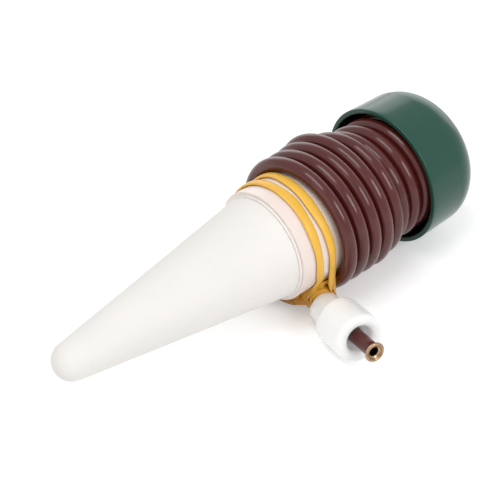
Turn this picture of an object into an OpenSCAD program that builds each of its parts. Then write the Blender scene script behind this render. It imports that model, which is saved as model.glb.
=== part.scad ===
// Self watering spike, lying on its side as it is stored.
// +X runs along the spike from the clay tip to the cap, +Z is up and the ground is at z = 0.
// The hose is wound on the plastic sleeve and its weighted end lies beside the spike, towards -Y.

/* [Clay cone] */
// Length of the clay that shows, from the tip to its shoulder
cone_length = 84.5; // [70:0.5:100]
// Radius of the rounded tip
tip_r = 6.5; // [5:0.1:7.5]
// Radius of the clay at its shoulder
cone_top_r = 18.2; // [16.5:0.1:18.6]
// Wall of the porous clay
cone_wall = 2.8; // [2:0.1:4]
// Length of the clay spigot inside the sleeve
spigot_length = 12; // [8:0.5:16]

/* [Cone seal] */
// Wall of the rubber sleeve round the spigot
seal_wall = 1.2; // [0.8:0.1:1.8]
// Thickness of the lip between clay and sleeve
seal_lip = 0.7; // [0.5:0.1:1.2]
// How far the lip stands proud of the clay
seal_proud = 0.5; // [0.2:0.1:1]

/* [Neck sleeve] */
// Radius of the milky collar that holds the clay
collar_r = 19.7; // [19:0.1:21]
// Wall of the collar
collar_wall = 1.5; // [1.2:0.1:2]
// Length of the collar
collar_length = 38.4; // [34:0.2:42]
// Bevel of the collar's back edge
collar_bevel = 0.8; // [0.4:0.1:1.2]
// Radius of the neck behind the collar
neck_r = 16.3; // [15.8:0.1:17]
// Wall of the neck
neck_wall = 2; // [1.5:0.1:2.4]
// Length of the neck that takes the winding
neck_length = 26; // [25.5:0.1:28]
// Length of the threaded mouth
mouth_length = 10.9; // [10.5:0.1:12]
// Radius of the mouth under its thread
mouth_r = 14.8; // [14.2:0.1:15]
// Ledge inside the collar that stops the spigot
stop_width = 1.5; // [1:0.1:2]

/* [Screw thread] */
// Travel of the cap in one turn
thread_lead = 8; // [7:0.5:9]
// Number of thread starts
thread_starts = 2; // [1:1:2]
// Turns of each ridge
thread_turns = 0.7; // [0.5:0.05:0.75]
// Height of a ridge
thread_height = 1.2; // [0.8:0.1:1.3]
// Width of a ridge at its root
thread_root = 1.6; // [1.2:0.1:1.8]
// Width of a ridge at its crest
thread_crest = 0.8; // [0.5:0.1:1]

/* [Hose nipple] */
// Bore of the nipple
nipple_bore = 1.8; // [1.2:0.1:2.2]
// Length of the spigot inside the hose
nipple_spigot = 4; // [3:0.5:5]
// Length of the block behind the spigot
nipple_block = 3.6; // [3:0.1:4.2]

/* [Cap] */
// Radius of the rim
cap_rim_r = 25.2; // [25:0.1:26.5]
// Radius where the skirt turns into the dome
cap_shoulder_r = 24.8; // [24.6:0.1:25.2]
// Length of the skirt below the dome
skirt_length = 14.3; // [13.5:0.1:15]
// Radius of the round edge between skirt and crown
dome_r = 11.7; // [11:0.1:12.5]
// Turn of the round edge, before the flatter crown begins
dome_turn = 65; // [60:1:72]
// Wall of the cap
cap_wall = 1.8; // [1.4:0.1:2.1]
// Distance from the sealing ledge back to where the skirt ends
shoulder_drop = 8; // [7.5:0.1:8.5]
// Depth of the threaded boss below the ledge
boss_depth = 12; // [11.5:0.1:12.4]
// Wall of the threaded boss
boss_wall = 1.7; // [1.2:0.1:2]

/* [Gasket] */
// Thickness of the flat gasket
gasket_thick = 2; // [1.2:0.1:2.5]
// Width of the gasket's face
gasket_width = 2.9; // [2:0.1:3]

/* [Hose] */
// Outer diameter of the hose
hose_od = 5.1; // [4.6:0.1:5.4]
// Bore of the hose
hose_id = 3.6; // [3:0.1:3.8]
// Length of the straight end, from the winding to the tip of the ferrule
tail_length = 48.8; // [44:0.2:56]
// Turn of the straight end away from the winding, towards the clay
tail_yaw = 13.2; // [6:0.2:18]
// Stretch of the first turn that eases into the straight end, in degrees
flare_span = 22; // [18:1:40]

/* [Winding] */
// Turns from the first top to the nipple
coil_turns = 8; // [7:1:8]
// Gap between neighbouring turns
turn_gap = 0.54; // [0.48:0.02:0.7]
// Distance from the collar's front edge to the first turn at the top
coil_start = 16.5; // [16:0.1:18]
// Length over which the winding steps down from collar to neck
step_length = 6.4; // [6:0.2:8]

/* [Rubber band] */
// Thickness of the stretched band
band_d = 1.3; // [1:0.1:1.5]
// Distance from the collar's front edge to the first wrap at the top
band_start = 5.4; // [4.5:0.1:6]
// Distance between the wraps at the top
band_pitch = 4.4; // [3.8:0.1:4.8]
// Gap between the band's hook and the sinker's stem
hook_gap = 2; // [1.8:0.1:2.4]

/* [Sinker] */
// Radius of the weight
sinker_r = 8.5; // [7.5:0.1:9]
// Length of the weight without its stem
sinker_length = 15; // [13:0.2:17]
// Radius of the stem
stem_r = 5.5; // [5:0.1:6]
// Length of the stem
stem_length = 7.8; // [6:0.2:9]
// Rounding of the weight's edges
sinker_round = 2.3; // [1:0.1:2.5]
// Rounding of the stem's end
stem_round = 0.8; // [0.4:0.1:1.2]
// Radius of the recess round the hose
recess_r = 4.75; // [4.4:0.05:5.2]
// Depth of the recess
recess_depth = 4.5; // [3:0.1:6]
// Bare hose between the weight and the ferrule
bare_hose = 7.6; // [5:0.1:9]

/* [Ferrule] */
// Radius of the rolled flange
flange_r = 3.45; // [3.2:0.05:3.8]
// Thickness of the rolled flange
flange_thick = 1.1; // [0.8:0.1:1.4]
// Bore of the ferrule
ferrule_bore = 3; // [2.4:0.1:3.2]
// Length of the shank inside the hose
shank_length = 6.9; // [5:0.1:9]
// Bevel of the ferrule's mouth
mouth_bevel = 0.5; // [0.3:0.1:0.6]

/* [Clearances] */
// Clearance of pressed and glued joints
fit = 0.05; // [0.02:0.01:0.1]
// Clearance between the cap and what it turns on
turn_clearance = 0.35; // [0.3:0.05:0.45]
// Clearance of the sinker on the hose
slide_clearance = 0.25; // [0.2:0.05:0.4]
// Radial clearance of the winding and the band on the sleeve
wrap_clearance = 0.05; // [0.02:0.01:0.15]
// Space between the nipple block and the cap's skirt
skirt_clearance = 0.6; // [0.4:0.1:0.8]

/* [Hidden] */
$fn = 96;
big = 400;
// Overlap that fuses a ridge or a block with its wall
embed = 0.35;
rings_per_turn = 24;
tube_sides = 6;
ring_step = 360 / rings_per_turn;

// Stations along the spike, from the tip
sleeve_x = cone_length + seal_lip;
stop_x = cone_length + spigot_length + fit;
collar_end_x = sleeve_x + collar_length;
neck_end_x = collar_end_x + neck_length;
mouth_x = neck_end_x + mouth_length;
ledge_x = mouth_x + gasket_thick;
shoulder_x = ledge_x - shoulder_drop;
rim_x = shoulder_x - skirt_length;
boss_x = ledge_x - boss_depth;

// The crown is a ball that meets the round edge without a break
dome_off = cap_shoulder_r - dome_r;
crown_x = shoulder_x + dome_r * sin(dome_turn);
crown_edge_r = dome_off + dome_r * cos(dome_turn);
crown_r = crown_edge_r / cos(dome_turn);
crown_centre_x = crown_x - crown_r * sin(dome_turn);
top_x = crown_centre_x + crown_r;

// The spike's axis lies one rim radius above the ground, and the origin is under its middle
axis_z = cap_rim_r;
mid_x = top_x / 2;

// Clay: the taper is the line from the shoulder that touches the round tip
taper_reach = norm([cone_length - tip_r, cone_top_r]);
taper = atan2(cone_top_r, cone_length - tip_r) - asin(tip_r / taper_reach);
pocket_r = collar_r - collar_wall;
spigot_r = pocket_r - fit - seal_wall - fit;
spigot_bore_r = spigot_r - cone_wall;
inner_tip_r = tip_r - cone_wall;
cavity_top_r = cone_top_r - cone_wall / cos(taper);
cavity_turn_x = cone_length - (cavity_top_r - spigot_bore_r) / tan(taper);

// Sleeve
neck_bore_r = neck_r - neck_wall;
mouth_bore_r = mouth_r - neck_wall;

// Cap
boss_in_r = mouth_r + thread_height + turn_clearance;
boss_out_r = boss_in_r + boss_wall;
gasket_in_r = mouth_bore_r + 0.2;
gasket_out_r = gasket_in_r + gasket_width;
skirt_in_r = cap_rim_r - cap_wall;

// Thread ridges: those of the cap run midway between those of the mouth
ridge_pitch = thread_lead / thread_starts;
ridge_x = neck_end_x + thread_root / 2 + 1.2;
cap_ridge_x = ridge_x + ridge_pitch / 2;

// Winding
hose_r = hose_od / 2;
pitch = hose_od + turn_gap;
first_x = sleeve_x + coil_start;
collar_wind_r = collar_r + hose_r + wrap_clearance;
neck_wind_r = neck_r + hose_r + wrap_clearance;
coil_end_angle = 90 + 360 * coil_turns;

// Straight end of the hose: it leaves the winding under the spike and rises
// until the back edge of the sinker rests on the ground
flange_back = tail_length - flange_thick;
sinker_front = flange_back - bare_hose;
sinker_back = sinker_front - sinker_length;
stem_back = sinker_back - stem_length;
rest_at = sinker_back + sinker_round;
ground_gap = 0.05;
function rise_from(b, n) = n == 0 ? b
    : rise_from(asin((sinker_r * cos(b) + ground_gap - axis_z + collar_wind_r * cos(b))
        / (rest_at * cos(tail_yaw))), n - 1);
tail_rise = rise_from(10, 12);
coil_start_angle = -90 - tail_rise;
tail_dir = [-sin(tail_yaw), -cos(tail_yaw) * cos(tail_rise), cos(tail_yaw) * sin(tail_rise)];
deg = 180 / PI;
flare_rate = (collar_wind_r * tan(tail_yaw) - pitch / 360 * deg) / (2 * flare_span * deg);

function unit(v) = v / norm(v);
function smooth(u) = u <= 0 ? 0 : u >= 1 ? 1 : u * u * (3 - 2 * u);
function flare(th) = flare_rate * pow(max(0, coil_start_angle + flare_span - th), 2);
function coil_x(th) = first_x + pitch * (th - 90) / 360 - flare(th);
function coil_r(x) = collar_wind_r
    + (neck_wind_r - collar_wind_r) * smooth((x - collar_end_x) / step_length);
function on_turn(x, r, th) = [x - mid_x, r * cos(th), axis_z + r * sin(th)];
function coil_at(th) = on_turn(coil_x(th), coil_r(coil_x(th)), th);
function coil_dir(th) = unit(coil_at(th + 0.5) - coil_at(th - 0.5));

// One six sided ring of a tube, with two of its corners along the spike
function tube_ring(p, dir, out, r) =
    let (n = unit(out - (out * dir) * dir), b = cross(dir, n))
    [for (k = [0:tube_sides - 1]) p + r * (cos(360 * k / tube_sides) * b + sin(360 * k / tube_sides) * n)];
function outward(th) = [0, cos(th), sin(th)];

tail_root = coil_at(coil_start_angle);
tail_start = tail_root + tail_dir * hose_od;
coil_steps = ceil((coil_end_angle - coil_start_angle) / ring_step);
coil_angles = [for (i = [0:coil_steps])
    coil_start_angle + (coil_end_angle - coil_start_angle) * i / coil_steps];
nipple_dir = coil_dir(coil_end_angle);
coil_tip = coil_at(coil_end_angle) + nipple_dir * hose_od;
coil_rings = concat(
    [tube_ring(tail_start, -tail_dir, outward(coil_start_angle), hose_r)],
    [tube_ring(tail_root, -tail_dir, outward(coil_start_angle), hose_r)],
    [for (i = [1:coil_steps - 1])
        tube_ring(coil_at(coil_angles[i]), coil_dir(coil_angles[i]), outward(coil_angles[i]), hose_r)],
    [tube_ring(coil_at(coil_end_angle), nipple_dir, outward(coil_end_angle), hose_r)],
    [tube_ring(coil_tip, nipple_dir, outward(coil_end_angle), hose_r)]);

// Band: a closed loop laid double round the collar, with both ends round the hose
band_r = band_d / 2;
band_wrap_r = collar_r + band_r + wrap_clearance + 0.2;
hook_r = (hose_r + band_r + 2 * fit) / cos(15);
hook_at = stem_back - hook_gap - band_r;
back_hook_at = hook_at - band_d - 0.6;
hook_side = unit(cross(tail_dir, [0, 0, 1]));
hook_up = cross(hook_side, tail_dir);
band_x = sleeve_x + band_start;
first_wrap = [[-84, -3.4], [-40, -1.6], [0, -0.8], [79, 0], [127, -0.6], [161, 0.3], [185, 1],
    [200, 2.2]];
second_wrap = [[-108, -0.6], [-60, 2.4], [0, 5.2], [60, 5.2], [89, 4.4], [109, 4.3], [148, 5.6],
    [185, 6.5], [200, 8]];
function wrap_at(wrap, th) =
    on_turn(band_x + lookup(th, wrap) * band_pitch / 4.4, band_wrap_r, th);
function hook_point(t, a) = tail_root + tail_dir * t + hook_r * (cos(a) * hook_side + sin(a) * hook_up);
band_path = concat(
    [for (a = [-150:30:0]) hook_point(hook_at, a)],
    [for (i = [0:19]) wrap_at(first_wrap, 200 - 284 * i / 19)],
    [for (a = [-50:-30:-260]) hook_point(back_hook_at, a)],
    [for (i = [0:21]) wrap_at(second_wrap, 308 * i / 21 - 108)],
    [hook_point(hook_at, -180)]);
band_count = len(band_path);
band_dirs = [for (i = [0:band_count - 1])
    unit(band_path[(i + 1) % band_count] - band_path[(i + band_count - 1) % band_count])];
function carried(n, i) = unit(n - (n * band_dirs[i % band_count]) * band_dirs[i % band_count]);
function carry(n, i, found) = i > band_count ? found
    : let (m = carried(n, i)) carry(m, i + 1, concat(found, [m]));
band_normals = carry(hook_up, 0, []);
band_first = band_normals[0];
band_last = band_normals[band_count];
band_twist = atan2(cross(band_last, band_first) * band_dirs[0], band_last * band_first);
band_rings = [for (i = [0:band_count - 1])
    let (d = band_dirs[i], n = band_normals[i], w = band_twist * i / band_count, m = cross(d, n))
    [for (k = [0:tube_sides - 1]) band_path[i]
        + band_r * (cos(60 * k + w) * n + sin(60 * k + w) * m)]];

// Least distance between the corners of rings that lie on neighbouring turns
function ring_gap(a, b) = min([for (p = a) for (q = b) norm(p - q)]);
function least_gap(rings, near, far) = min([for (i = [0:len(rings) - 1])
    for (j = [i + near:min(i + far, len(rings) - 1)]) ring_gap(rings[i], rings[j])]);
function run_length(angles) = len(angles) < 2 ? 0
    : sum_steps([for (i = [1:len(angles) - 1]) norm(coil_at(angles[i]) - coil_at(angles[i - 1]))]);
function sum_steps(v) = v * [for (i = v) 1];
echo("least gap between turns of the hose", least_gap(coil_rings, rings_per_turn - 3, rings_per_turn + 3));
echo("least gap between strands of the band", least_gap(band_rings, 5, band_count - 5));
echo("length of the hose", run_length(coil_angles) + hose_od + flange_back);
echo("rise of the hose end", tail_rise, "total length", top_x, "coil end", coil_x(coil_end_angle));

// Closed tube through a list of rings of equal size
module tube(rings) {
    n = len(rings);
    s = len(rings[0]);
    points = [for (r = rings) each r];
    sides = [for (i = [0:n - 2]) for (k = [0:s - 1])
        let (a = i * s + k, b = i * s + (k + 1) % s, c = a + s, d = b + s)
        each [[a, b, d], [a, d, c]]];
    first = [for (k = [1:s - 2]) [0, k + 1, k]];
    last = [for (k = [1:s - 2]) [(n - 1) * s, (n - 1) * s + k, (n - 1) * s + k + 1]];
    polyhedron(points = points, faces = concat(sides, first, last), convexity = 20);
}

// Closed loop through a list of rings of equal size
module loop(rings) {
    n = len(rings);
    s = len(rings[0]);
    points = [for (r = rings) each r];
    sides = [for (i = [0:n - 1]) for (k = [0:s - 1])
        let (j = (i + 1) % n, a = i * s + k, b = i * s + (k + 1) % s, c = j * s + k, d = j * s + (k + 1) % s)
        each [[a, b, d], [a, d, c]]];
    polyhedron(points = points, faces = sides, convexity = 20);
}

// Solid of revolution about the spike's axis, from a profile of radius against station
module about_axis() {
    translate([-mid_x, 0, axis_z]) rotate([0, 90, 0]) rotate_extrude() children();
}

// Frame with +Z along the straight end of the hose, at a distance from the winding
module on_tail(t) {
    translate(tail_root + tail_dir * t)
        rotate([0, acos(tail_dir[2]), atan2(tail_dir[1], tail_dir[0])]) children();
}

// Rectangle with round corners on its outer side, at radius from 0 to r
module round_slab(r, low, high, c) {
    translate([0, low]) square([r - c, high - low]);
    if (high - low > 2 * c + 0.01) translate([0, low + c]) square([r, high - low - 2 * c]);
    translate([r - c, low + c]) circle(c);
    translate([r - c, high - c]) circle(c);
}

// Helical ridge with its root at one radius and its crest at another, round the spike's axis
module ridge(root_r, crest_r, start_x, turn) {
    steps = ceil(rings_per_turn * thread_turns);
    rings = [for (i = [0:steps])
        let (th = 360 * thread_turns * i / steps, x = start_x + thread_lead * th / 360)
        let (s = sign(crest_r - root_r))
        [on_turn(x + s * thread_root / 2, root_r, th + turn), on_turn(x - s * thread_root / 2, root_r, th + turn),
         on_turn(x - s * thread_crest / 2, crest_r, th + turn), on_turn(x + s * thread_crest / 2, crest_r, th + turn)]];
    tube(rings);
}

module ceramic_cone() color([0.93, 0.92, 0.90]) about_axis() {
    tangent = [tip_r * cos(taper), tip_r - tip_r * sin(taper)];
    inner_tangent = [inner_tip_r * cos(taper), tip_r - inner_tip_r * sin(taper)];
    difference() {
        union() {
            intersection() {
                translate([0, tip_r]) circle(tip_r);
                square([tip_r, tangent[1]]);
            }
            polygon([[0, tangent[1]], tangent, [cone_top_r, cone_length], [0, cone_length]]);
            translate([0, cone_length]) square([spigot_r, spigot_length]);
        }
        intersection() {
            translate([0, tip_r]) circle(inner_tip_r);
            square([tip_r, inner_tangent[1]]);
        }
        polygon([[0, inner_tangent[1]], inner_tangent, [spigot_bore_r, cavity_turn_x],
            [spigot_bore_r, big], [0, big]]);
    }
}

module cone_seal() color([0.80, 0.79, 0.77]) about_axis() {
    translate([spigot_r + fit, cone_length]) square([seal_wall, spigot_length]);
    translate([spigot_r + fit, cone_length])
        square([cone_top_r + seal_proud - spigot_r - fit, seal_lip]);
}

module sleeve_body() about_axis() {
    polygon([[pocket_r, sleeve_x], [collar_r, sleeve_x], [collar_r, collar_end_x - collar_bevel],
        [collar_r - collar_bevel, collar_end_x], [neck_r, collar_end_x], [neck_r, neck_end_x],
        [mouth_r, neck_end_x], [mouth_r, mouth_x], [mouth_bore_r, mouth_x],
        [mouth_bore_r, neck_end_x - neck_wall], [neck_bore_r, neck_end_x - 2 * neck_wall],
        [neck_bore_r, collar_end_x - neck_wall], [pocket_r, collar_end_x - neck_wall],
        [pocket_r, stop_x + stop_width], [spigot_bore_r + fit, stop_x + stop_width],
        [spigot_bore_r + fit, stop_x], [pocket_r, stop_x]]);
}

// Frame with +Z along the nipple, from the face that the hose butts against
module on_nipple() {
    translate(coil_tip) rotate([0, acos(nipple_dir[2]), atan2(nipple_dir[1], nipple_dir[0])]) children();
}

// Depth from the hose's centre line to just inside the neck's wall
nipple_drop = neck_wind_r - neck_r + embed + hose_od * hose_od / (2 * neck_r);

module nipple_solid() {
    intersection() {
        on_nipple() union() {
            cylinder(r = hose_r, h = nipple_block);
            translate([0, -hose_r, 0]) cube([nipple_drop, hose_od, nipple_block]);
        }
        translate([-mid_x, 0, axis_z]) rotate([0, 90, 0])
            cylinder(r = skirt_in_r - skirt_clearance, h = mouth_x);
    }
    on_nipple() translate([0, 0, -nipple_spigot]) cylinder(d = hose_id - 2 * fit, h = nipple_spigot + embed);
}

module neck_sleeve() color([0.90, 0.88, 0.85]) {
    drill = nipple_block / 2;
    difference() {
        union() {
            sleeve_body();
            nipple_solid();
        }
        on_nipple() translate([0, 0, -nipple_spigot - fit])
            cylinder(d = nipple_bore, h = nipple_spigot + fit + drill);
        on_nipple() translate([0, 0, drill]) rotate([0, 90, 0])
            cylinder(d = nipple_bore, h = nipple_drop + 2 * neck_wall);
    }
    for (i = [0:thread_starts - 1])
        ridge(mouth_r - embed, mouth_r + thread_height, ridge_x, 360 * i / thread_starts);
}

// Dome of the cap above its skirt, drawn in by a wall
module dome(wall) {
    edge_x = crown_x - wall * sin(dome_turn);
    edge_r = crown_edge_r - wall * cos(dome_turn);
    intersection() {
        translate([dome_off, shoulder_x]) circle(dome_r - wall);
        translate([0, shoulder_x]) square([big, big]);
    }
    translate([0, shoulder_x]) square([edge_r, edge_x - shoulder_x]);
    intersection() {
        translate([0, crown_centre_x]) circle(crown_r - wall);
        translate([0, edge_x]) square([edge_r, big]);
    }
}

module cap_outside() {
    polygon([[0, rim_x], [cap_rim_r, rim_x], [cap_shoulder_r, shoulder_x], [0, shoulder_x]]);
    dome(0);
}

module cap_inside() {
    polygon([[0, rim_x - 1], [skirt_in_r, rim_x - 1], [skirt_in_r, rim_x],
        [cap_shoulder_r - cap_wall, shoulder_x], [0, shoulder_x]]);
    dome(cap_wall);
}

module cap() color([0.16, 0.33, 0.27]) {
    about_axis() {
        difference() {
            cap_outside();
            cap_inside();
        }
        intersection() {
            cap_outside();
            union() {
                translate([boss_in_r, boss_x]) square([boss_wall, top_x - boss_x]);
                translate([gasket_in_r, ledge_x]) square([boss_out_r - gasket_in_r, top_x - ledge_x]);
            }
        }
    }
    for (i = [0:thread_starts - 1])
        ridge(boss_in_r + embed, mouth_r + turn_clearance, cap_ridge_x, 360 * i / thread_starts);
}

module cap_gasket() color([0.12, 0.12, 0.12]) about_axis()
    translate([gasket_in_r, mouth_x]) square([gasket_width, gasket_thick]);

module hose_coil() color([0.38, 0.22, 0.20]) difference() {
    tube(coil_rings);
    on_nipple() translate([0, 0, -nipple_spigot - fit]) cylinder(d = hose_id, h = nipple_spigot + 1);
}

module hose_tail() color([0.38, 0.22, 0.20]) on_tail(hose_od) difference() {
    cylinder(r = hose_r, h = flange_back - hose_od);
    translate([0, 0, -1]) cylinder(d = hose_id, h = tail_length);
}

module rubber_band() color([0.92, 0.70, 0.18]) loop(band_rings);

module sinker() color([0.94, 0.94, 0.93]) on_tail(0) difference() {
    rotate_extrude() {
        round_slab(sinker_r, sinker_back, sinker_front, sinker_round);
        round_slab(stem_r, stem_back, sinker_back + stem_round, stem_round);
    }
    translate([0, 0, stem_back - 1]) cylinder(r = hose_r + slide_clearance, h = tail_length);
    translate([0, 0, sinker_front - recess_depth]) cylinder(r = recess_r, h = tail_length);
}

module ferrule() color([0.72, 0.58, 0.40]) on_tail(0) rotate_extrude() difference() {
    union() {
        round_slab(flange_r, flange_back, tail_length, flange_thick / 2);
        translate([0, flange_back - shank_length]) square([hose_id / 2 - fit, shank_length + embed]);
    }
    polygon([[0, 0], [ferrule_bore / 2, 0], [ferrule_bore / 2, tail_length - mouth_bevel],
        [ferrule_bore / 2 + mouth_bevel, tail_length], [ferrule_bore / 2 + mouth_bevel, tail_length + 1],
        [0, tail_length + 1]]);
}

ceramic_cone();
cone_seal();
neck_sleeve();
cap();
cap_gasket();
hose_coil();
hose_tail();
rubber_band();
sinker();
ferrule();
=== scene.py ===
import math
import bpy
import numpy as np
from mathutils import Matrix, Vector


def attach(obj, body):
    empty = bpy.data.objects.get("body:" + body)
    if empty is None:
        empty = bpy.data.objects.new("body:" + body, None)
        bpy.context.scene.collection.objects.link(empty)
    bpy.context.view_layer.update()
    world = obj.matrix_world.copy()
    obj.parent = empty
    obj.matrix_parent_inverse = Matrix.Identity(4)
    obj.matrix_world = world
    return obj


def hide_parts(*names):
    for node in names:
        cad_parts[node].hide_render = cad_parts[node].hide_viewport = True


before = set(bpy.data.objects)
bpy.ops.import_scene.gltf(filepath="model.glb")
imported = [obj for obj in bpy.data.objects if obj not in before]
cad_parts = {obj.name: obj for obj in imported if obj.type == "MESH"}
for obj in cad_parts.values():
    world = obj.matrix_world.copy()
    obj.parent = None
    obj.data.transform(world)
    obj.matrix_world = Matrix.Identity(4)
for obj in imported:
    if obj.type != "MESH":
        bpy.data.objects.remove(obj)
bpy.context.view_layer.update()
mm = 0.001  # shapes are worked out in millimetres, looks and lamps in metres

# place is in millimetres, nearest and furthest are in metres; ahead and right are directions
viewer = {"place": (-269.39, -291.1, 368.6), "ahead": (0.5075, 0.5592, -0.6561),
          "right": (0.741, -0.672, 0.0), "lens": 115.2, "sensor": 36, "nearest": 0.01, "furthest": 20}


def placeCamera(v):
    # the camera's own axes are right, up and back, worked out from where it looks
    ahead = Vector(v["ahead"]).normalized()
    right = Vector(v["right"]).normalized()
    right = (right - right.dot(ahead) * ahead).normalized()
    up = right.cross(ahead)
    data = bpy.data.cameras.new("productCamera")
    data.sensor_width = v["sensor"]
    data.lens = v["lens"]
    data.clip_start = v["nearest"]
    data.clip_end = v["furthest"]
    camera = bpy.data.objects.new("productCamera", data)
    turn = Matrix((right, up, -ahead)).transposed().to_4x4()
    camera.matrix_world = Matrix.Translation(Vector(v["place"]) * mm) @ turn
    bpy.context.scene.collection.objects.link(camera)
    bpy.context.scene.camera = camera


placeCamera(viewer)
print("camera placed")


# shader maths as Python expressions
class Wire:
    def __init__(self, tree, socket):
        self.tree = tree
        self.socket = socket

    def maths(self, operation, *values):
        return self.tree.node("ShaderNodeMath", {"operation": operation}, dict(enumerate(values)))

    def __add__(self, other):
        return self.maths("ADD", self, other)

    def __sub__(self, other):
        return self.maths("SUBTRACT", self, other)

    def __rsub__(self, other):
        return self.maths("SUBTRACT", other, self)

    def __mul__(self, other):
        return self.maths("MULTIPLY", self, other)

    __radd__ = __add__
    __rmul__ = __mul__

    def sine(self):
        return self.maths("SINE", self)

    def within(self, low, high):
        # 0 at low, 1 at high, straight between them and held outside
        return self.tree.node("ShaderNodeMapRange", {"clamp": True},
                              {"Value": self, "From Min": low, "From Max": high})


class NodeTree:
    def __init__(self, tree):
        self.tree = tree

    def node(self, kind, settings=None, values=None, out=0):
        made = self.tree.nodes.new(kind)
        for key, value in (settings or {}).items():
            setattr(made, key, value)
        for key, value in (values or {}).items():
            self.feed(made.inputs[key], value)
        return Wire(self, made.outputs[out])

    def feed(self, socket, value):
        if isinstance(value, Wire):
            self.tree.links.new(value.socket, socket)
        else:
            socket.default_value = value

    def ray(self, kind):
        return self.node("ShaderNodeLightPath", out="Is " + kind + " Ray")

    def seenRays(self):
        # 1 for what the camera sees, by itself or in a mirror or through glass
        return self.ray("Camera") + self.ray("Glossy") + self.ray("Transmission")

    def blend(self, factor, first, second):
        # the two colours mixed by factor
        pair = [c if isinstance(c, Wire) else (*c, 1) for c in (first, second)]
        return self.node("ShaderNodeMix", {"data_type": "RGBA"}, {0: factor, 6: pair[0], 7: pair[1]}, 2)


class Finish(NodeTree):
    # one material: what is the same all over is set by name, what changes over the surface is fed in
    def __init__(self, name, **constants):
        self.material = bpy.data.materials.new(name)
        self.material.use_nodes = True
        super().__init__(self.material.node_tree)
        self.shader = self.tree.nodes["Principled BSDF"]
        self.output = self.tree.nodes["Material Output"]
        for key, value in constants.items():
            self.set(key, value)

    def set(self, key, value):
        self.feed(self.shader.inputs[key.replace("_", " ")], value)

    def place(self):
        return self.node("ShaderNodeTexCoord", out="Object")

    def along(self, axis):
        # the place on the object along one of its axes, in metres
        return self.node("ShaderNodeSeparateXYZ", values={0: self.place()}, out=axis)

    def noise(self, scale, detail=3.0, rough=0.5, at=None):
        return self.node("ShaderNodeTexNoise", {"noise_dimensions": "3D"},
                         {"Vector": at or self.place(), "Scale": scale, "Detail": detail, "Roughness": rough})

    def roughen(self, pattern, v):
        # rough on the whole, and unevenly so: by uneven from the glossiest place to the dullest
        self.set("Roughness", pattern * v["uneven"] + (v["rough"] - v["uneven"] / 2))

    def bump(self, height, strength, distance, after=None):
        values = {"Height": height, "Strength": strength, "Distance": distance}
        if after is not None:
            values["Normal"] = after
        return self.node("ShaderNodeBump", values=values)


# noises are (scale, detail, roughness), spans the (from, to) of a noise that counts, shares how much
# it counts, and bumps are (strength, distance in metres)
clayLook = {"warm": (0.83, 0.805, 0.77), "cool": (0.775, 0.76, 0.735), "rough": 0.88, "shine": 0.25,
            "cloud": (38, 4, 0.55), "cloudSpan": (0.35, 0.75), "cloudShare": 0.6,
            "grain": (900, 2, 0.6), "grainSpan": (0.4, 0.9), "grainShare": 0.25,
            "pits": (1440, 3, 0.7), "pitShare": 0.6,
            "turning": 1400, "wander": 25, "wanderShare": 6, "ringShare": 0.06,
            "grainBump": (0.22, 0.00012), "cloudBump": (0.25, 0.0006)}


def clayFinish(v):
    # bare clay: soft clouds and a fine grain in its colour, small pits, and faint wandering rings
    f = Finish("porousClay", Roughness=v["rough"], Specular_IOR_Level=v["shine"])
    cloud, grain, pits = f.noise(*v["cloud"]), f.noise(*v["grain"]), f.noise(*v["pits"])
    cool = cloud.within(*v["cloudSpan"]) * v["cloudShare"] + grain.within(*v["grainSpan"]) * v["grainShare"]
    f.set("Base_Color", f.blend(cool, v["warm"], v["cool"]))
    rings = (f.along("X") * v["turning"] + f.noise(v["wander"]) * v["wanderShare"]).sine() * v["ringShare"]
    height = grain + pits * v["pitShare"] + rings
    f.set("Normal", f.bump(height, *v["grainBump"], f.bump(cloud, *v["cloudBump"])))
    return f


sealLook = {"light": (0.90, 0.85, 0.83), "dark": (0.82, 0.77, 0.75), "rough": 0.6, "cloud": (220,),
            "skin": (1800, 2), "skinBump": (0.1, 0.0001)}


def sealFinish(v):
    # pale rubber: faint clouds and a fine skin
    f = Finish("sealRubber", Roughness=v["rough"])
    f.set("Base_Color", f.blend(f.noise(*v["cloud"]), v["light"], v["dark"]))
    f.set("Normal", f.bump(f.noise(*v["skin"]), *v["skinBump"]))
    return f


# back is the collar's colour next to the hose: the hose showing through the milky wall, with painted shade
# from the coil
milkyLook = {"front": (0.83, 0.72, 0.67), "back": (0.75, 0.63, 0.55), "from": 0.0095, "to": 0.0175,
             "rough": 0.32, "uneven": 0.12, "shine": 0.5,
             "milk": 0.25, "milkDepth": 0.002, "milkReach": (1.0, 0.7, 0.5),
             "cloud": (60, 2), "cloudShare": 0.12, "wear": (350, 3),
             "swell": (130, 2), "swellBump": (0.12, 0.0003)}


def milkyFinish(v):
    # the milky wall darkens towards the hose: partly the brown hose showing through it, partly painted shade
    # beside the coil
    f = Finish("milkyPlastic", Specular_IOR_Level=v["shine"], Subsurface_Weight=v["milk"],
               Subsurface_Scale=v["milkDepth"], Subsurface_Radius=v["milkReach"])
    # painted shade: the colour runs from front to back towards the coil
    shadeTowardsHose = f.along("X").within(v["from"], v["to"])
    cloudy = shadeTowardsHose + f.noise(*v["cloud"]) * v["cloudShare"] - v["cloudShare"] / 2
    f.set("Base_Color", f.blend(cloudy.within(0, 1), v["front"], v["back"]))
    f.roughen(f.noise(*v["wear"]), v)
    f.set("Normal", f.bump(f.noise(*v["swell"]), *v["swellBump"]))
    return f


capLook = {"body": (0.013, 0.066, 0.046), "worn": (0.030, 0.098, 0.074),
           "rough": 0.17, "uneven": 0.14, "shine": 0.3,
           "dust": (900, 4, 0.7), "dustSpan": (0.62, 0.8), "dustShare": 0.25,
           "cloud": (45, 3), "cloudShare": 0.25, "wear": (240, 4, 0.6), "swell": (70, 2), "skin": (2600, 2),
           "swellBump": (0.08, 0.0005), "skinBump": (0.06, 0.00005)}


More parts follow.
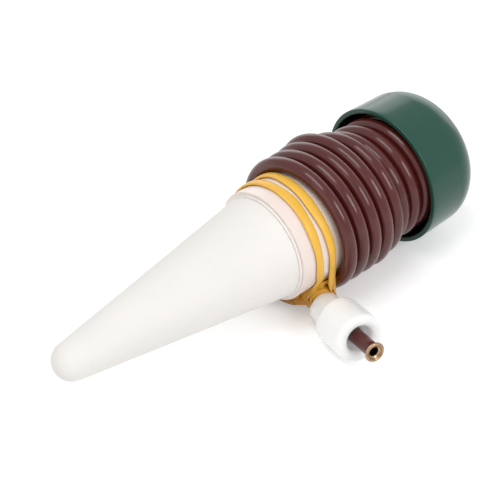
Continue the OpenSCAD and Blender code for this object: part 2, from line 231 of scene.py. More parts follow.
def capFinish(v):
    # moulded green: specks of dust and soft clouds of wear on a slightly uneven gloss
    f = Finish("greenPlastic", Specular_IOR_Level=v["shine"])
    dust = f.noise(*v["dust"]).within(*v["dustSpan"])
    worn = dust * v["dustShare"] + f.noise(*v["cloud"]) * v["cloudShare"]
    f.set("Base_Color", f.blend(worn, v["body"], v["worn"]))
    f.roughen(f.noise(*v["wear"]), v)
    skin = f.bump(f.noise(*v["skin"]), *v["skinBump"])
    f.set("Normal", f.bump(f.noise(*v["swell"]), *v["swellBump"], skin))
    return f


gasketLook = {"black": (0.02, 0.02, 0.02), "bloom": (0.05, 0.05, 0.048), "rough": 0.65, "cloud": (400,),
              "skin": (2000, 2), "skinBump": (0.15, 0.0001)}


def gasketFinish(v):
    # black rubber with a little bloom
    f = Finish("gasketRubber", Roughness=v["rough"])
    f.set("Base_Color", f.blend(f.noise(*v["cloud"]), v["black"], v["bloom"]))
    f.set("Normal", f.bump(f.noise(*v["skin"]), *v["skinBump"]))
    return f


hoseLook = {"brown": (0.108, 0.018, 0.015), "deep": (0.062, 0.008, 0.006),
            "rough": 0.15, "uneven": 0.12, "shine": 0.42,
            "drawn": (0.35, 14, 1), "streak": (3, 3, 0.5), "streakShare": 0.5,
            "cloud": (90, 4, 0.6), "cloudShare": 0.5, "swell": (60, 2),
            "streakBump": (0.12, 0.0002), "swellBump": (0.1, 0.0008)}


def hoseFinish(v):
    # drawn vinyl: long faint streaks along the hose and soft clouds of wear
    f = Finish("brownVinyl", Specular_IOR_Level=v["shine"])
    uv = f.node("ShaderNodeUVMap", {"uv_map": "UVMap"})
    drawn = f.node("ShaderNodeMapping", values={"Vector": uv, "Scale": v["drawn"]})
    streak, cloud = f.noise(*v["streak"], at=drawn), f.noise(*v["cloud"])
    pale = streak * v["streakShare"] + cloud * v["cloudShare"]
    f.set("Base_Color", f.blend(pale, v["deep"], v["brown"]))
    f.roughen(cloud, v)
    swell = f.bump(f.noise(*v["swell"]), *v["swellBump"])
    f.set("Normal", f.bump(streak, *v["streakBump"], swell))
    return f


# shade is a painted shadow colour for the strands that lie under the collar
bandLook = {"amber": (0.84, 0.485, 0.05), "deep": (0.50, 0.20, 0.02), "shade": (0.15, 0.10, 0.04),
            "rough": 0.38, "shine": 0.5, "milk": 0.2, "milkDepth": 0.001,
            "lowest": 0.0045, "lowTo": 0.0165, "lowShare": 0.8, "shadeFrom": 0.002, "shadeTo": 0.0065,
            "cloud": (160, 3), "cloudShare": 0.3, "cloudLess": 0.08,
            "skin": (900, 3), "skinBump": (0.2, 0.0001)}


def bandFinish(v):
    # the rubber is deeper in colour towards the bottom, and painted shade darkens it under the spike
    f = Finish("amberRubber", Roughness=v["rough"], Specular_IOR_Level=v["shine"],
               Subsurface_Weight=v["milk"], Subsurface_Scale=v["milkDepth"])
    low = 1 - f.along("Z").within(v["lowest"], v["lowTo"])
    cloudy = (low * v["lowShare"] + f.noise(*v["cloud"]) * v["cloudShare"] - v["cloudLess"]).within(0, 1)
    # painted shade: the lowest strands at the clay end turn to the shade colour, as if in the collar's shadow
    under = low * (1 - f.along("X").within(v["shadeFrom"], v["shadeTo"]))
    f.set("Base_Color", f.blend(under, f.blend(cloudy, v["amber"], v["deep"]), v["shade"]))
    f.set("Normal", f.bump(f.noise(*v["skin"]), *v["skinBump"]))
    return f


glazeLook = {"white": (0.90, 0.905, 0.895), "thin": (0.86, 0.865, 0.855), "rough": 0.255, "uneven": 0.15,
             "shine": 0.5, "coat": 0.2, "coatRough": 0.12,
             "milk": 0.9, "milkDepth": 0.006, "milkReach": (1, 1, 1),
             "cloud": (120, 3), "cloudSpan": (0.4, 0.8), "cloudShare": 0.6,
             "swell": (110, 2), "skin": (700, 3), "swellBump": (0.35, 0.0006), "skinBump": (0.12, 0.0001)}


def glazeFinish(v):
    # white glaze on a pale body: thinner in places, with a soft unevenness under the gloss
    f = Finish("whiteGlaze", Specular_IOR_Level=v["shine"],
               Coat_Weight=v["coat"], Coat_Roughness=v["coatRough"], Subsurface_Weight=v["milk"],
               Subsurface_Scale=v["milkDepth"], Subsurface_Radius=v["milkReach"])
    cloud = f.noise(*v["cloud"])
    f.set("Base_Color", f.blend(cloud.within(*v["cloudSpan"]) * v["cloudShare"], v["white"], v["thin"]))
    f.roughen(cloud, v)
    skin = f.bump(f.noise(*v["skin"]), *v["skinBump"])
    f.set("Normal", f.bump(f.noise(*v["swell"]), *v["swellBump"], skin))
    return f


brassLook = {"bright": (0.47, 0.32, 0.20), "dull": (0.15, 0.09, 0.05), "rough": 0.25, "uneven": 0.3,
             "stain": (500, 4, 0.6), "stainSpan": (0.35, 0.75), "skin": (2500, 2), "skinBump": (0.1, 0.00005)}


def brassFinish(v):
    # turned brass, dull and rougher where it is stained
    f = Finish("turnedBrass", Metallic=1.0)
    stain = f.noise(*v["stain"])
    f.set("Base_Color", f.blend(stain.within(*v["stainSpan"]), v["bright"], v["dull"]))
    f.roughen(stain, v)
    f.set("Normal", f.bump(f.noise(*v["skin"]), *v["skinBump"]))
    return f


clay, sealRubber, milky = clayFinish(clayLook), sealFinish(sealLook), milkyFinish(milkyLook)
green, gasketRubber, vinyl = capFinish(capLook), gasketFinish(gasketLook), hoseFinish(hoseLook)
amber, glaze, brass = bandFinish(bandLook), glazeFinish(glazeLook), brassFinish(brassLook)
print("finishes made")


def unit(v):
    # a direction is the vector divided by its length
    return v / np.linalg.norm(v, axis=-1, keepdims=True)


def ramp(x, start, span):
    # 0 at start, 1 a span further on, straight between them and held outside; a span may run downwards
    return np.clip((x - start) / span, 0, 1)


def putMesh(name, points, faces, finish, uv=None):
    # points in millimetres; a shell that encloses a negative volume is turned round
    points = np.asarray(points, float).reshape(-1, 3) * mm
    flat = [np.asarray(f) for f in faces if len(f)]
    volume = sum((points[f[:, 0]] * np.cross(points[f[:, i]], points[f[:, i + 1]])).sum()
                 for f in flat for i in range(1, f.shape[1] - 1))
    if volume < 0:
        flat = [f[:, ::-1] for f in flat]
    mesh = bpy.data.meshes.new(name)
    mesh.from_pydata(points.tolist(), [], [row for f in flat for row in f.tolist()])
    mesh.polygons.foreach_set("use_smooth", np.ones(len(mesh.polygons), bool))
    if uv is not None:
        corner = np.empty(len(mesh.loops), np.int32)
        mesh.loops.foreach_get("vertex_index", corner)
        layer = mesh.uv_layers.new(name="UVMap")
        layer.data.foreach_set("uv", np.asarray(uv, np.float32).reshape(-1, 2)[corner].ravel())
    mesh.update()
    mesh.materials.append(finish.material)
    made = bpy.data.objects.new(name, mesh)
    bpy.context.scene.collection.objects.link(made)
    return made


def gridFaces(rows, cols, closedRows=True):
    # quads between neighbouring rows and columns of a grid of points, whose columns close on themselves
    i, j = np.meshgrid(np.arange(rows if closedRows else rows - 1), np.arange(cols), indexing="ij")
    k, m = (i + 1) % rows, (j + 1) % cols
    return np.stack([i * cols + j, i * cols + m, k * cols + m, k * cols + j], -1).reshape(-1, 4)


def fillet(corners, closed, steps=6):
    # a profile of (station, radius, rounding): each corner becomes an arc that touches both sides
    out = []
    count = len(corners)
    for i, (x, r, c) in enumerate(corners):
        here = np.array([x, r], float)
        if c <= 0 or (not closed and i in (0, count - 1)):
            out.append(here)
            continue
        a = np.array(corners[i - 1][:2], float) - here
        b = np.array(corners[(i + 1) % count][:2], float) - here
        la, lb = np.linalg.norm(a), np.linalg.norm(b)
        a, b = a / la, b / lb
        half = math.acos(max(-1, min(1, float(a @ b)))) / 2
        reach = min(c / math.tan(half), 0.49 * la, 0.49 * lb)
        size = reach * math.tan(half)
        centre = here + unit(a + b) * (size / math.sin(half))
        start, end = here + a * reach - centre, here + b * reach - centre
        angle = math.acos(max(-1, min(1, float(start @ end) / (size * size))))
        for k in range(steps + 1):
            t = k / steps
            along = math.sin((1 - t) * angle) * start + math.sin(t * angle) * end
            out.append(centre + along / math.sin(angle))
    return np.array(out)


def densified(profile, closed, longest=2.0):
    # long straight stretches are split so that no step of the profile is longer than longest
    ends = np.vstack([profile, profile[:1]]) if closed else profile
    pieces = [np.linspace(p, q, max(1, int(np.ceil(np.linalg.norm(q - p) / longest))), endpoint=False)
              for p, q in zip(ends[:-1], ends[1:])]
    rows = np.vstack(pieces)
    return rows if closed else np.vstack([rows, ends[-1:]])


# the spike lies with its tip at tipX and its axis at axisZ; the straight end of the hose has its own axes
tipX, axisZ = -84.552, 25.2
spikeFrame = (np.array([tipX, 0, axisZ]), np.array([1.0, 0, 0]), np.array([0, 1.0, 0]), np.array([0, 0, 1.0]))
tailRoot = np.array([13.3239, -4.251, 3.30893])
tailDir = unit(np.array([-0.228351, -0.955726, 0.185591]))
hookSide = unit(np.cross(tailDir, [0, 0, 1]))
hookUp = np.cross(hookSide, tailDir)
tailFrame = (tailRoot, tailDir, hookSide, hookUp)


def spin(name, profile, axes, finish, segments=144, closed=True, wobble=None):
    # point = origin + station x axis + radius x (cos of the turn x side + sin of the turn x up)
    origin, axis, side, up = axes
    turn = np.linspace(0, 2 * np.pi, segments, endpoint=False)
    around = np.cos(turn)[:, None] * side + np.sin(turn)[:, None] * up
    rows = profile if closed else profile[1:-1]
    radius = rows[:, 1][:, None] * np.ones(segments)
    if wobble is not None:
        radius = radius + wobble(rows[:, 0][:, None], turn[None, :], rows[:, 1][:, None])
    points = origin + rows[:, 0][:, None, None] * axis + radius[:, :, None] * around[None]
    if closed:
        return putMesh(name, points, [gridFaces(len(rows), segments)], finish)
    flat = np.vstack([points.reshape(-1, 3), origin + axis * profile[0, 0], origin + axis * profile[-1, 0]])
    j = np.arange(segments)
    k = (j + 1) % segments
    last = (len(rows) - 1) * segments
    first = np.stack([np.full(segments, len(flat) - 2), k, j], -1)
    final = np.stack([np.full(segments, len(flat) - 1), last + j, last + k], -1)
    return putMesh(name, flat, [gridFaces(len(rows), segments, closedRows=False), first, final], finish)


def ripple(waves, x, turn):
    # a sum of sines: each wave is (height, how many round, radians it leans by per millimetre along)
    return sum(height * np.sin(count * turn + lean * x) for height, count, lean in waves)


def sweepRings(path, lead, wide, thick, sides, tangent=None):
    # ring = path point + wide x cos x sideways + thick x sin x lead, where lead is squared to the path
    if tangent is None:
        tangent = unit(np.gradient(path, axis=0))
    up = unit(lead - (lead * tangent).sum(-1, keepdims=True) * tangent)
    across = np.cross(tangent, up)
    turn = np.linspace(0, 2 * np.pi, sides, endpoint=False)[None, :, None]
    wide = np.broadcast_to(wide, len(path))[:, None, None]
    thick = np.broadcast_to(thick, len(path))[:, None, None]
    return path[:, None] + wide * np.cos(turn) * across[:, None] + thick * np.sin(turn) * up[:, None]


# stub and tail are (from, to, points) along the hose's ends; uneven turns are (at degrees, lift, shift)
hose = {"r": 2.55, "boreR": 1.8, "firstX": 17.148, "pitch": 5.64, "turns": 8, "collarR": 22.3, "neckR": 18.9,
        "stepAt": 39.048, "stepLength": 6.4, "flareRate": 0.00171867, "flareSpan": 22, "rise": 10.9894,
        "stub": (5.1, 0.4, 12), "tail": (0.5, 47.7, 90), "ringsPerTurn": 96, "sides": 28, "uvLength": 10,
        "uneven": ((760, 0.45, -0.1), (1120, 1.45, -0.8), (1480, -1.2, -0.3)), "unevenSpan": 80}


def hosePath(v):
    # a screw line round the spike that drops from the collar to the neck, then a straight end;
    # it is listed from the nipple under the cap to the inlet
    start = -90 - v["rise"]
    end = 90 + 360 * v["turns"]
    th = np.linspace(end, start, int((end - start) / 360 * v["ringsPerTurn"]))
    flare = v["flareRate"] * np.maximum(0, start + v["flareSpan"] - th) ** 2
    x = v["firstX"] + v["pitch"] * (th - 90) / 360 - flare
    u = ramp(x, v["stepAt"], v["stepLength"])
    r = v["collarR"] + (v["neckR"] - v["collarR"]) * u * u * (3 - 2 * u)
    for at, lift, shift in v["uneven"]:
        # a turn that rides a little high or low at the back
        near = np.cos(np.pi / 2 * np.clip((th - at) / v["unevenSpan"], -1, 1)) ** 2
        r, x = r + lift * near, x + shift * near
    a = np.radians(th)
    out = np.stack([0 * a, np.cos(a), np.sin(a)], -1)
    wound = np.stack([x, r * np.cos(a), axisZ + r * np.sin(a)], -1)
    nippleDir = unit(wound[0] - wound[1])
    stub = wound[0] + nippleDir * np.linspace(*v["stub"])[:, None]
    tail = tailRoot + tailDir * np.linspace(*v["tail"])[:, None]
    path = np.vstack([stub, wound, tail])
    lead = np.vstack([np.tile(out[0], (len(stub), 1)), out, np.tile(out[-1], (len(tail), 1))])
    return path, lead


def makeHose(v):
    # outer wall from end to end, then the bore back again, as one closed tube
    path, lead = hosePath(v)
    tangent = unit(np.gradient(path, axis=0))
    outer = sweepRings(path, lead, v["r"], v["r"], v["sides"], tangent)
    inner = sweepRings(path, lead, v["boreR"], v["boreR"], v["sides"], tangent)
    run = np.concatenate([[0], np.cumsum(np.linalg.norm(np.diff(path, axis=0), axis=1))])
    around = np.linspace(0, 1, v["sides"], endpoint=False)
    uv = np.stack(np.broadcast_arrays(run[:, None] / v["uvLength"], around[None]), -1)
    rings = np.vstack([outer, inner[::-1]])
    made = putMesh("brownHose", rings, [gridFaces(len(rings), v["sides"])], vinyl, np.vstack([uv, uv[::-1]]))
    return made, path, run[-1]


brownHose, hoseLine, hoseLength = makeHose(hose)
print("hose made,", round(float(hoseLength)), "mm long")

cone = {"tipR": 6.5, "wall": 2.8, "topR": 18.2, "length": 84.5, "spigotR": 16.9, "spigot": 12, "boreR": 14.1,
        "edge": 0.7, "footRound": 0.1, "endRound": 0.5, "boreRound": 0.4, "turnRound": 2,
        "tipSteps": 26, "sides": 160,
        "waves": ((0.03, 2, 0.05), (0.02, 1, 0.31)), "trueTipR": 4, "trueEdge": 1}


def makeCone(v):
    # outside from the round tip to the shoulder and the spigot, then back along the hollow inside
    reach = math.hypot(v["length"] - v["tipR"], v["topR"])
    taper = math.atan2(v["topR"], v["length"] - v["tipR"]) - math.asin(v["tipR"] / reach)
    inR = v["tipR"] - v["wall"]
    sweep = np.linspace(0, np.pi / 2 - taper, v["tipSteps"])
    tip = np.stack([v["tipR"] - v["tipR"] * np.cos(sweep), v["tipR"] * np.sin(sweep)], -1)
    innerTip = np.stack([v["tipR"] - inR * np.cos(sweep), inR * np.sin(sweep)], -1)[::-1]
    turnX = v["length"] - (v["topR"] - v["wall"] / math.cos(taper) - v["boreR"]) / math.tan(taper)
    end = v["length"] + v["spigot"]
    body = fillet([(*tip[-1], 0), (v["length"], v["topR"], v["edge"]),
                   (v["length"], v["spigotR"], v["footRound"]),
                   (end, v["spigotR"], v["endRound"]), (end, v["boreR"], v["boreRound"]),
                   (turnX, v["boreR"], v["turnRound"]), (*innerTip[0], 0)], False)
    profile = densified(np.vstack([tip[:-1], body, innerTip[1:]]), False)

    def thrown(x, turn, r):
        # the hand of the maker: the taper is a few hundredths of a millimetre out of round,
        # and the end of the tip and the shoulder run true
        return np.where(x < v["length"] - v["trueEdge"], ripple(v["waves"], x, turn), 0) * (r > v["trueTipR"])

    return spin("clayCone", profile, spikeFrame, clay, v["sides"], closed=False, wobble=thrown)


clayCone = makeCone(cone)

seal = {"from": 84.5, "lip": 0.7, "lipR": 18.7, "inR": 16.95, "outR": 18.15, "to": 96.5, "lipRound": 0.3,
        "footRound": 0.05, "edge": 0.1}


def makeSeal(v):
    # a thin sleeve whose front edge stands out as the lip
    lipEnd = v["from"] + v["lip"]
    profile = fillet([(v["from"], v["inR"], v["edge"]), (v["from"], v["lipR"], v["lipRound"]),
                      (lipEnd, v["lipR"], v["lipRound"]), (lipEnd, v["outR"], v["footRound"]),
                      (v["to"], v["outR"], v["edge"]), (v["to"], v["inR"], v["edge"])], True)
    return spin("sealSleeve", densified(profile, True), spikeFrame, sealRubber)


sealSleeve = makeSeal(seal)

cap = {"rimX": 140.2, "rimR": 25.2, "shoulderX": 154.5, "shoulderR": 24.8, "wall": 1.8, "domeR": 11.7,
       "domeTurn": 65, "bossX": 150.5, "bossIn": 16.35, "bossOut": 18.05, "ledgeX": 162.5, "ledgeR": 13.0,
       "rimRound": 0.45, "bossRound": 0.4, "ledgeRound": 0.2,
       "sides": 200, "outerSteps": 40, "innerSteps": 16}


def capDome(v, wall, low, high, steps):
    # the round edge turns into the crown's ball where both have the same direction;
    # points between two radii, from the skirt towards the axis
    turn = math.radians(v["domeTurn"])
    off = v["shoulderR"] - v["domeR"]
    crownR = (off + v["domeR"] * math.cos(turn)) / math.cos(turn)
    crownX = v["shoulderX"] + (v["domeR"] - crownR) * math.sin(turn)
    edge = np.linspace(0, turn, steps, endpoint=False)
    crown = np.linspace(turn, np.pi / 2, steps)
    bend = v["domeR"] - wall
    arc = np.stack([v["shoulderX"] + bend * np.sin(edge), off + bend * np.cos(edge)], -1)
    ball = np.stack([crownX + (crownR - wall) * np.sin(crown), (crownR - wall) * np.cos(crown)], -1)
    line = np.vstack([arc, ball])
    r = line[::-1, 1]
    x = line[::-1, 0]
    kept = line[(line[:, 1] > low) & (line[:, 1] < high)]
    ends = [[np.interp(c, r, x), c] for c in (min(high, r[-1]), max(low, 0))]
    return np.vstack([ends[:1], kept, ends[1:]])


def makeCap(v):
    # outside from the crown to the rim, then back under the skirt, round the boss and under the crown
    skirtR = v["rimR"] - v["wall"]
    outside = capDome(v, 0, 0, v["shoulderR"], v["outerSteps"])[::-1]
    under = capDome(v, v["wall"], v["bossOut"], v["shoulderR"] - v["wall"], v["innerSteps"])
    crown = capDome(v, v["wall"], 0, v["ledgeR"], v["innerSteps"])
    rim = fillet([(*outside[-1], 0), (v["rimX"], v["rimR"], v["rimRound"]),
                  (v["rimX"], skirtR, v["rimRound"]), (*under[0], 0)], False)
    boss = fillet([(*under[-1], 0), (v["bossX"], v["bossOut"], v["bossRound"]),
                   (v["bossX"], v["bossIn"], v["bossRound"]), (v["ledgeX"], v["bossIn"], v["ledgeRound"]),
                   (v["ledgeX"], v["ledgeR"], v["ledgeRound"]), (*crown[0], 0)], False)
    profile = np.vstack([outside[:-1], rim, under[1:-1], boss, crown[1:]])
    return spin("screwCap", densified(profile, False), spikeFrame, green, v["sides"], closed=False)


screwCap = makeCap(cap)

thread = {"lead": 8, "starts": 2, "turns": 0.7, "root": 1.6, "crest": 0.8, "capFrom": 153.6, "crestR": 15.15,
          "rootR": 16.7, "steps": 90, "runOut": 0.25, "leastFade": 0.05}


def makeThread(v):
    # ridges of the cap: a four cornered section carried along a screw line, run out to nothing at both ends
    made = []
    steps, root = v["steps"], np.full(v["steps"], v["rootR"])
    for start in range(v["starts"]):
        th = np.linspace(0, 2 * np.pi * v["turns"], steps)
        fade = np.clip(np.minimum(th, th[-1] - th) / v["runOut"], v["leastFade"], 1)
        x = v["capFrom"] + v["lead"] * th / (2 * np.pi) + tipX
        crest = v["rootR"] + (v["crestR"] - v["rootR"]) * fade
        a = th + 2 * np.pi * start / v["starts"]
        section = [(-v["root"] / 2, root), (-v["crest"] / 2, crest),
                   (v["crest"] / 2, crest), (v["root"] / 2, root)]
        edges = [np.stack([x + dx, r * np.cos(a), axisZ + r * np.sin(a)], -1) for dx, r in section]
        rings = np.stack(edges, 1)
        ends = np.arange(4)[None]
        faces = [gridFaces(steps, 4, closedRows=False), ends, ends[:, ::-1] + 4 * (steps - 1)]
        made.append(putMesh("capThread" + "AB"[start], rings, faces, green))
    return made


capThreads = makeThread(thread)

weight = {"back": 25.1, "front": 40.1, "r": 8.5, "round": 2.3, "stemBack": 16.6, "stemR": 5.7,
          "stemRound": 0.8, "stemFoot": 0.9, "boreR": 2.8, "backBore": 0.4,
          "recessR": 4.75, "recessEnd": 4.35, "recess": 4.5, "recessRound": 1.8,
          "floorRound": 0.5, "floorBore": 0.3,
          "sides": 120, "waves": ((0.04, 3, 0.4), (0.03, 5, -0.7)), "wavesFromR": 5}


def makeSinker(v):
    # the stem, the weight and its recess, then back along the bore
    floor = v["front"] - v["recess"]
    profile = fillet([
        (v["stemBack"], v["boreR"], v["backBore"]), (v["stemBack"], v["stemR"], v["stemRound"]),
        (v["back"], v["stemR"], v["stemFoot"]), (v["back"], v["r"], v["round"]),
        (v["front"], v["r"], v["round"]), (v["front"], v["recessR"], v["recessRound"]),
        (floor, v["recessEnd"], v["floorRound"]), (floor, v["boreR"], v["floorBore"])], True, steps=12)

    def cast(x, turn, r):
        # the glaze lies a little unevenly on the outside
        return ripple(v["waves"], x, turn) * (r > v["wavesFromR"])

    return spin("sinkerWeight", densified(profile, True, 1.2), tailFrame, glaze, v["sides"], wobble=cast)


sinkerWeight = makeSinker(weight)

inlet = {"tip": 48.8, "flange": 1.1, "r": 3.45, "boreR": 1.5, "shankR": 1.75, "shank": 6.9, "sides": 96,
         "lipBack": 0.3, "lipIn": 0.65, "bevelBack": 0.85, "bevelOut": 0.05,
         "mouthRound": 0.2, "shankRound": 0.1}


def makeInlet(v):
    # the rolled lip is a half round and a bit more, then the mouth's bevel, the bore and the thin shank
    back = v["tip"] - v["flange"]
    roll = (v["tip"] - back) / 2
    middle = v["r"] - roll
    a = np.radians(np.arange(-90, 181, 15))
    rolled = np.stack([back + roll + roll * np.sin(a), middle + roll * np.cos(a)], -1)
    mouth = [(v["tip"] - v["lipBack"], middle - v["lipIn"], v["mouthRound"]),
             (v["tip"] - v["bevelBack"], v["boreR"] + v["bevelOut"], v["mouthRound"])]
    shank = [(x, r, v["shankRound"]) for x, r in (
        (back - v["shank"], v["boreR"]), (back - v["shank"], v["shankR"]), (back, v["shankR"]))]
    profile = fillet([(*p, 0) for p in rolled] + mouth + shank, True)
    return spin("brassInlet", densified(profile, True, 0.8), tailFrame, brass, v["sides"])


brassInlet = makeInlet(inlet)
print("spike, cap, sinker and inlet made")

# angles are in degrees: a turn's are (from, to, points), and firstX and secondX place it along the spike;
# a hook is (angles, at, r, rise) and a wrap (at, lean, r, rise, toward, sharp), as hookRing takes them;
# the web is (x, y, z, half width); onCollar, top, underFar, underLow and underNear are (start, span) in
# millimetres, as ramp takes them; waves are (radians per point, shift) along the strand
band = {"x": 6.048, "r": 20.3, "wide": 1.45, "broad": 0.2, "thick": 0.36, "topThick": 0.55, "sides": 14,
        "firstX": ((-100, -84, -40, 0, 45, 60, 85, 110, 130, 150, 170, 190, 203),
                   (-3.0, -3.2, -1.6, -0.4, 0.45, 0.9, 1.0, 1.3, 0.95, 0.8, 0.9, 1.3, 2.4)),
        "secondX": ((-108, -60, 0, 45, 60, 85, 110, 120, 130, 150, 170, 185, 200),
                    (-1.6, 2.6, 5.6, 6.6, 6.7, 6.2, 5.9, 5.7, 5.75, 6.25, 6.6, 6.8, 8.0)),
        "firstTurn": (203, -100, 21), "secondTurn": (-108, 200, 22), "lean": 1.5,
        "frontHook": ((-150, 31, 30), 12.2, 3.2, 1.4), "backHook": ((-30, -301, -30), 10.4, 3.3, 0.7),
        "lastHook": ((150, 181, 30), 13.7, 3.6, 1.5),
        "wraps": ((9.2, 1.5, 3.1, 1.6, 90, 1), (10.5, 1.5, 3.1, 2.6, 95, 1), (11.9, 1.4, 3.05, 3.2, 98, 1),
                  (13.3, 1.2, 3.1, 3.2, 103, 1), (14.5, 0.8, 3.05, 2.8, 108, 1),
                  (15.4, 0.2, 3.0, 2.4, 113, 1), (14.2, 0.9, 3.2, 7.0, 116, 6),
                  (13.4, 0.9, 3.1, 5.2, 126, 4), (13.8, 0.9, 3.1, 5.2, 120, 5)),
        "wrapWide": 1.05, "wrapSway": 0.3, "wrapShift": 70, "uneven": 0.05, "waves": ((0.31, 0), (0.117, 2)),
        "web": ((3.2, -4.0, 4.3, 0.6), (4.3, -6.8, 3.9, 1.0), (5.9, -9.2, 4.1, 1.4), (7.1, -11.4, 5.0, 1.7),
                (7.75, -13.6, 6.0, 1.7), (8.6, -15.6, 6.6, 1.4)),
        "webSteps": 40, "webSmoothings": 6, "webFacing": (0.45, 0.55, -0.7),
        "onCollar": (4.5, 5), "top": (25, 14),
        "underFar": (3.8, 1.5), "underLow": (9, -2), "underNear": (-3, -4),
        "underFacing": (0.35, 0.5, -0.8), "underWide": 0.3}


def hookRing(a, at, lean, r, rise, toward=90, sharp=1.5):
    # round the hose: it leans back on its left and stands off the hose by rise towards one side
    a = np.radians(a)[:, None]
    reach = r + rise * np.clip(np.cos(a - math.radians(toward)), 0, 1) ** sharp
    return tailRoot + tailDir * (at - lean * np.cos(a)) + reach * (np.cos(a) * hookSide + np.sin(a) * hookUp)


def bandPath(v):
    # a closed loop laid double round the collar; both ends go round the hose behind the sinker's stem
    def wrap(th, table):
        a = np.radians(th)
        return np.stack([v["x"] + np.interp(th, *table), v["r"] * np.cos(a), axisZ + v["r"] * np.sin(a)], -1)

    def hook(angles, at, r, rise):
        return hookRing(np.arange(*angles), at, v["lean"], r, rise)

    first = wrap(np.linspace(*v["firstTurn"]), v["firstX"])
    second = wrap(np.linspace(*v["secondTurn"]), v["secondX"])
    return np.vstack([hook(*v["frontHook"]), first, hook(*v["backHook"]), second, hook(*v["lastHook"])])


def smoothLoop(points, steps=8):
    # each stretch between two points is the cubic that leaves and meets them along their neighbours' line
    before, after, beyond = np.roll(points, 1, 0), np.roll(points, -1, 0), np.roll(points, -2, 0)
    t = np.linspace(0, 1, steps, endpoint=False)[None, :, None]
    p, q = points[:, None], after[:, None]
    reach = np.linalg.norm(q - p, axis=-1, keepdims=True)
    leave = unit(after - before)[:, None] * reach
    meet = unit(beyond - points)[:, None] * reach
    leaving = (2 * t ** 3 - 3 * t ** 2 + 1) * p + (t ** 3 - 2 * t ** 2 + t) * leave
    return (leaving + (3 * t ** 2 - 2 * t ** 3) * q + (t ** 3 - t ** 2) * meet).reshape(-1, 3)


def bandRings(v, path, wide, broad, topThick):
    # the flat of the band lies on what it goes round: the hose near by, the collar further off;
    # between them, under the spike, it is turned up
    tangent = unit(np.roll(path, -1, 0) - np.roll(path, 1, 0))
    fromSpike = path - np.array([0, 0, axisZ])
    fromSpike[:, 0] = 0
    fromHose = path - tailRoot - ((path - tailRoot) @ tailDir)[:, None] * tailDir
    gap = np.linalg.norm(fromHose, axis=1)
    onCollar = ramp(gap, *v["onCollar"])
    turned = ramp(gap, *v["underFar"]) * ramp(path[:, 2], *v["underLow"]) * ramp(path[:, 1], *v["underNear"])
    run = np.arange(len(path))
    top = onCollar * ramp(path[:, 2], *v["top"])
    sway = sum(np.sin(run * rate + shift) for rate, shift in v["waves"])
    wide = wide * (1 + v["underWide"] * turned + broad * top + v["uneven"] * sway)
    thick = v["thick"] + (topThick - v["thick"]) * onCollar
    onCollar, turned = onCollar[:, None], turned[:, None]
    lead = unit(fromHose) * (1 - onCollar) + unit(fromSpike) * onCollar
    lead = lead * (1 - turned) + turned * np.array(v["underFacing"])
    return sweepRings(path, lead, wide, thick, v["sides"], tangent)


def bandWeb(v):
    # where the strands are drawn together under the collar: one flat strip, smoothed by averaging neighbours
    stops = np.array(v["web"])
    at = np.linspace(0, len(stops) - 1, v["webSteps"])
    line = np.stack([np.interp(at, np.arange(len(stops)), stops[:, k]) for k in range(4)], -1)
    for _ in range(v["webSmoothings"]):
        line[1:-1] = (line[:-2] + 2 * line[1:-1] + line[2:]) / 4
    return sweepRings(line[:, :3], np.array(v["webFacing"]), line[:, 3], v["thick"], v["sides"])


def makeBand(v):
    # the long loop, the turns round the hose and the web, as closed shells in one mesh
    shells = [bandRings(v, smoothLoop(bandPath(v)), v["wide"], v["broad"], v["topThick"])]
    around = np.arange(0, 360, 20)
    for k, turn in enumerate(v["wraps"]):
        sway = v["wrapSway"] * np.sin(np.radians(2 * around + v["wrapShift"] * k))
        line = hookRing(around, *turn) + tailDir * sway[:, None]
        shells.append(bandRings(v, smoothLoop(line), v["wrapWide"], 0, v["thick"]))
    faces, first = [], 0
    for shell in shells:
        faces.append(gridFaces(len(shell), v["sides"]) + first)
        first += len(shell) * v["sides"]
    shells.append(bandWeb(v))
    ring = np.arange(v["sides"])[None]
    faces += [gridFaces(v["webSteps"], v["sides"], closedRows=False) + first, ring + first,
              ring[:, ::-1] + first + (v["webSteps"] - 1) * v["sides"]]
    return putMesh("amberBand", np.vstack([shell.reshape(-1, 3) for shell in shells]), faces, amber)


amberBand = makeBand(band)
print("band made")

for piece, node, body in (
        (clayCone, "ceramic_cone", "spike"), (sealSleeve, "cone_seal", "spike"),
        (screwCap, "cap", "screw_cap"), (amberBand, "rubber_band", "spike"),
        (sinkerWeight, "sinker", "sinker_weight"), (brassInlet, "ferrule", "spike"),
        (brownHose, "hose_coil", "spike"),
        *((piece, "cap", "screw_cap") for piece in capThreads)):
    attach(piece, body)
    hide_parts(node)
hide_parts("hose_tail")
for node, finish in (("neck_sleeve", milky), ("cap_gasket", gasketRubber)):
    solid = bpy.data.objects[node]
    solid.data.materials.clear()
    solid.data.materials.append(finish.material)

print("pieces placed on their bodies")

# lamps: aim is the way from the object to the lamp, far and size are in metres, power in watts
studio = {"lamps": {"overhead": {"aim": (-0.3, 0.03, 0.93), "far": 0.9, "size": (0.55, 0.42), "power": 2.8},
                    "front": {"aim": (0.1, -0.78, 0.6), "far": 0.9, "size": (0.34, 0.42), "power": 2.5},
                    "left": {"aim": (-0.9, -0.1, 0.42), "far": 1.0, "size": (0.6, 0.6), "power": 0.8},
                    "behind": {"aim": (0.78, 0.62, 0.16), "far": 1.5, "size": (2.4, 1.1), "power": 9.0}},
          "middle": (0.0, 0.0, 0.025), "sky": 0.55, "seenSky": 1.0, "floorHalf": 6, "floorZ": -0.00005,
          "paper": (0.94, 0.94, 0.94, 1), "paperRough": 0.9, "paperShine": 0.1,
          "floorGlow": 0.7, "nearGlow": 0.4, "glowFrom": 0.15, "glowTo": 2.5}


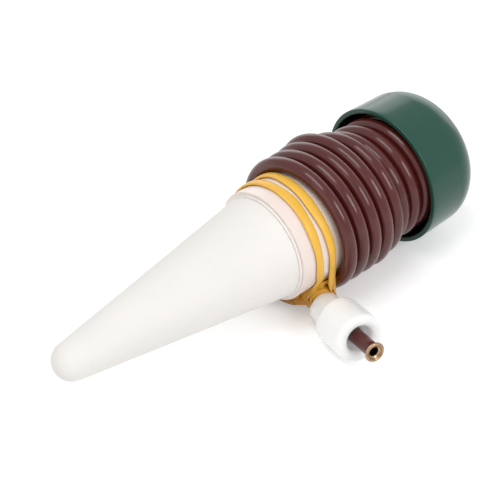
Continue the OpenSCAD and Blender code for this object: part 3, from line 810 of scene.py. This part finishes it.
def makeLamps(v):
    # each lamp's own z axis points away from the object, so that it shines back at it
    for name, lamp in v["lamps"].items():
        aim = Vector(lamp["aim"]).normalized()
        data = bpy.data.lights.new(name + "Lamp", "AREA")
        data.shape = "RECTANGLE"
        data.size, data.size_y = lamp["size"]
        data.energy = lamp["power"]
        light = bpy.data.objects.new(name + "Lamp", data)
        turn = aim.to_track_quat("Z", "Y").to_matrix().to_4x4()
        light.matrix_world = Matrix.Translation(Vector(v["middle"]) + aim * lamp["far"]) @ turn
        bpy.context.scene.collection.objects.link(light)


def makeFloor(v):
    # one square sheet; it keeps the shadow and glows a little to all that sees it,
    # more where the lamps reach it less
    half = v["floorHalf"]
    mesh = bpy.data.meshes.new("floorSheet")
    corners = [(-half, -half, 0), (half, -half, 0), (half, half, 0), (-half, half, 0)]
    mesh.from_pydata(corners, [], [(0, 1, 2, 3)])
    floor = bpy.data.objects.new("floorSheet", mesh)
    floor.location = (0, 0, v["floorZ"])
    bpy.context.scene.collection.objects.link(floor)
    f = Finish("floorPaper", Roughness=v["paperRough"], Specular_IOR_Level=v["paperShine"],
               Base_Color=v["paper"])
    x, y = f.along("X"), f.along("Y")
    far = (x * x + y * y).within(v["glowFrom"], v["glowTo"])
    share = f.seenRays() * (far * (1 - v["nearGlow"]) + v["nearGlow"])
    plain = Wire(f, f.shader.outputs[0])
    glow = f.node("ShaderNodeEmission", values={"Strength": v["floorGlow"]})
    both = f.node("ShaderNodeAddShader", values={0: plain, 1: glow})
    f.feed(f.output.inputs["Surface"], f.node("ShaderNodeMixShader", values={0: share, 1: plain, 2: both}))
    mesh.materials.append(f.material)


def makeSky(v):
    # the sky that lights the object is dimmer than the white one that shows
    world = bpy.data.worlds.new("studioSky")
    bpy.context.scene.world = world
    world.use_nodes = True
    sky = NodeTree(world.node_tree)
    white = (1, 1, 1, 1)
    light = sky.node("ShaderNodeBackground", values={"Color": white, "Strength": v["sky"]})
    shown = sky.node("ShaderNodeBackground", values={"Color": white, "Strength": v["seenSky"]})
    both = sky.node("ShaderNodeMixShader", values={0: sky.seenRays(), 1: light, 2: shown})
    sky.feed(world.node_tree.nodes["World Output"].inputs["Surface"], both)


makeLamps(studio)
makeFloor(studio)
makeSky(studio)
bpy.context.scene.view_settings.view_transform = "Standard"
print("stage made")
